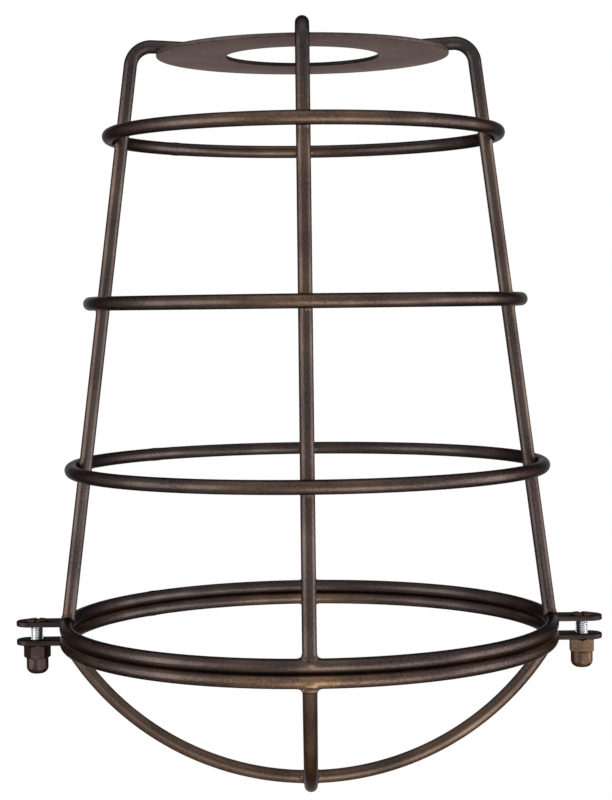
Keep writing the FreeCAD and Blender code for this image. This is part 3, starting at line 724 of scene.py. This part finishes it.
# Acorn nuts: turned brass nuts with a closed dome, plated and oil-rubbed to match the wire. One
# has kept its dark coating, and the other is rubbed back to the copper colour.
NUT_ACROSS_FLATS = 6.4 * MM
NUT_HEX_HEIGHT = 3.8 * MM
NUT_BEVEL = 0.4 * MM
DOME_RADIUS = 3.0 * MM
DOME_ROUNDING = 1.9 * MM
NUT_COLUMNS = 144
BEVEL_ROWS = 8
DOME_ROWS = 14
NUT_TURNS = {"right": 28.0, "left": 8.0}
NUT_WEAR = {"right": 0.35, "left": 0.05}


def nut_skin(axis, low, high, corner_turn):
    """Rings down a nut: the lesser of a hexagon's and a cone's radius, then a rounded dome.

    A hexagon's radius is half its width across flats over the cosine of the angle from the
    middle of the nearest flat. The cone turns the corners down at both ends of the hexagon.
    """
    from_corner = np.linspace(0.0, 2.0 * np.pi, NUT_COLUMNS, endpoint=False)
    angles = np.radians(corner_turn) + from_corner
    from_flat = from_corner % (np.pi / 3) - np.pi / 6
    hexagon = NUT_ACROSS_FLATS / 2 / np.cos(from_flat)
    corner = NUT_ACROSS_FLATS / np.sqrt(3.0)
    bevel_depths = np.linspace(0.0, NUT_BEVEL, BEVEL_ROWS)
    depths = np.concatenate([bevel_depths, NUT_HEX_HEIGHT - bevel_depths[::-1]])
    near_end = np.minimum(depths, NUT_HEX_HEIGHT - depths)
    cone = corner - (NUT_BEVEL - near_end) * np.sqrt(3.0)
    hex_radii = np.minimum(hexagon, cone[:, None])
    quarter = np.radians(np.linspace(0.0, 90.0, DOME_ROWS))
    dome_radii = np.append(DOME_RADIUS, DOME_RADIUS - DOME_ROUNDING * (1.0 - np.cos(quarter)))
    dome_depths = np.append(NUT_HEX_HEIGHT, high - low - DOME_ROUNDING * (1.0 - np.sin(quarter)))
    radii = np.concatenate([hex_radii, np.repeat(dome_radii[:, None], len(angles), axis=1)])[::-1]
    levels = (high - np.concatenate([depths, dome_depths]))[::-1]
    return np.stack([axis + radii * np.cos(angles), radii * np.sin(angles),
                     np.broadcast_to(levels[:, None], radii.shape)], axis=-1)


# marks of the lathe, drawn 0.9 mm long and 0.3 mm high so that they show
bronze_nut = oil_rubbed_bronze(
    "oil_rubbed_bronze_on_brass", "object", (0.9 * MM, 0.9 * MM, 0.3 * MM),
    ("#241C1A", "#342A28"), "#7E7E80", (0.40, 0.30), 0.006 * MM)
for side, sign in (("right", 1.0), ("left", -1.0)):
    nut_low, nut_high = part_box(f"acorn_nut_{side}")
    nut_grid = nut_skin(sign * screw_axis, nut_low.z, nut_high.z, NUT_TURNS[side])
    nut = add_piece(f"domed_nut_{side}", [(nut_grid, NUT_WEAR[side])], bronze_nut)
    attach(nut, "root")
    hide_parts(f"acorn_nut_{side}")

# Floor: a pale round board with rolled matt paint, a metre below the cage, which hangs from its
# lamp. It takes the cage's soft shadow, and lies below the view of the camera.
FLOOR_DROP = 1.0
FLOOR_RADIUS = 2.0
FLOOR_THICKNESS = 5.0 * MM
FLOOR_COLUMNS = 96
ROLLER_SIZE = 3.0 * MM
floor_paint, floor_tree = new_material("pale_matt_floor_paint")
floor_coords = add_node(floor_tree, "ShaderNodeTexCoord", {})
# the paint has no gloss, and a faint roller texture about 3 mm across
roller = add_node(floor_tree, "ShaderNodeTexNoise",
                  {"Vector": floor_coords.outputs["Object"], "Scale": 1.0 / ROLLER_SIZE})
floor_shade = add_node(floor_tree, "ShaderNodeMix",
                       {0: roller.outputs["Fac"], 6: srgb("#E6E6E4"), 7: srgb("#ECECEA")},
                       data_type="RGBA")
floor_shader = add_node(floor_tree, "ShaderNodeBsdfPrincipled",
                        {"Base Color": floor_shade.outputs[2], "Roughness": 0.9})
floor_output = floor_tree.nodes["Material Output"]
floor_tree.links.new(floor_shader.outputs["BSDF"], floor_output.inputs["Surface"])
floor_level = cad_low.z - FLOOR_DROP
floor_turns = np.linspace(0.0, 2.0 * np.pi, FLOOR_COLUMNS, endpoint=False)
floor_grid = ring_skin(FLOOR_RADIUS, [floor_level - FLOOR_THICKNESS, floor_level], floor_turns)
floor = add_piece("floor", [(floor_grid, 0.0)], floor_paint)

# Light: a white studio. Large soft boxes stand to the left and the right of the cage, which gives
# every wire two bright bands. One more lies low in front, and a weak one hangs above.
# Each has its place and size in metres, and its power in watts.
SOFT_BOXES = {
    "left_soft_box": ((-0.95, -0.45, -0.18), (1.0, 1.0), 10.0),
    "right_soft_box": ((1.08, 0.00, -0.25), (0.9, 0.9), 11.5),
    "low_soft_box": ((0.28, -0.52, -0.50), (0.8, 0.5), 4.5),
    "top_soft_box": ((0.0, -0.35, 0.80), (0.9, 0.6), 1.0),
}
AMBIENT_STRENGTH = 0.68
aim = np.array([0.0, 0.0, (cad_low.z + cad_high.z) / 2])


def facing(place, target):
    """Turn an object at a place so that its -Z axis points at the target."""
    return Vector(np.asarray(target) - np.asarray(place)).to_track_quat("-Z", "Y").to_euler()


for name, (place, (width, height), power) in SOFT_BOXES.items():
    lamp = bpy.data.lights.new(name, "AREA")
    lamp.shape = "RECTANGLE"
    lamp.size = width
    lamp.size_y = height
    lamp.energy = power
    soft_box = bpy.data.objects.new(name, lamp)
    soft_box.location = place
    soft_box.rotation_euler = facing(place, aim)
    bpy.context.collection.objects.link(soft_box)

world = bpy.data.worlds.new("white_studio")
bpy.context.scene.world = world
world.use_nodes = True
sky = world.node_tree
sky.nodes.remove(sky.nodes["Background"])
ray = add_node(sky, "ShaderNodeLightPath", {})
# white where it is seen, mirrored or looked at through something, and dimmer as a light
seen = add_node(sky, "ShaderNodeMath",
                {0: ray.outputs["Is Camera Ray"], 1: ray.outputs["Is Glossy Ray"]},
                operation="MAXIMUM")
shown = add_node(sky, "ShaderNodeMath",
                 {0: seen.outputs["Value"], 1: ray.outputs["Is Transmission Ray"]},
                 operation="MAXIMUM")
ambient = add_node(sky, "ShaderNodeBackground",
                   {"Color": srgb("#FFFFFF"), "Strength": AMBIENT_STRENGTH})
white = add_node(sky, "ShaderNodeBackground", {"Color": srgb("#FFFFFF"), "Strength": 1.0})
studio = add_node(sky, "ShaderNodeMixShader",
                  {0: shown.outputs["Value"], 1: ambient.outputs["Background"],
                   2: white.outputs["Background"]})
sky.links.new(studio.outputs["Shader"], sky.nodes["World Output"].inputs["Surface"])

# Camera: half a metre in front of the cage and a little above its middle, looking slightly down.
# Its place, focal length, pitch and roll, in radians, were fitted to the hoops, legs and plate of
# the photograph.
CAMERA_PLACE = (0.16 * MM, -525.1 * MM, -68.3 * MM)
CAMERA_PITCH = 0.049
CAMERA_ROLL = 0.012
FOCAL_PIXELS = 1914.4
IMAGE_HEIGHT = 800
SENSOR_HEIGHT = 36.0
camera_data = bpy.data.cameras.new("photo_camera")
camera_data.sensor_fit = "VERTICAL"
camera_data.sensor_height = SENSOR_HEIGHT
camera_data.lens = SENSOR_HEIGHT * FOCAL_PIXELS / IMAGE_HEIGHT
camera = bpy.data.objects.new("photo_camera", camera_data)
camera.location = CAMERA_PLACE
camera.rotation_euler = (np.pi / 2 - CAMERA_PITCH, CAMERA_ROLL, 0.0)
bpy.context.collection.objects.link(camera)
bpy.context.scene.camera = camera
bpy.context.scene.view_settings.view_transform = "Standard"
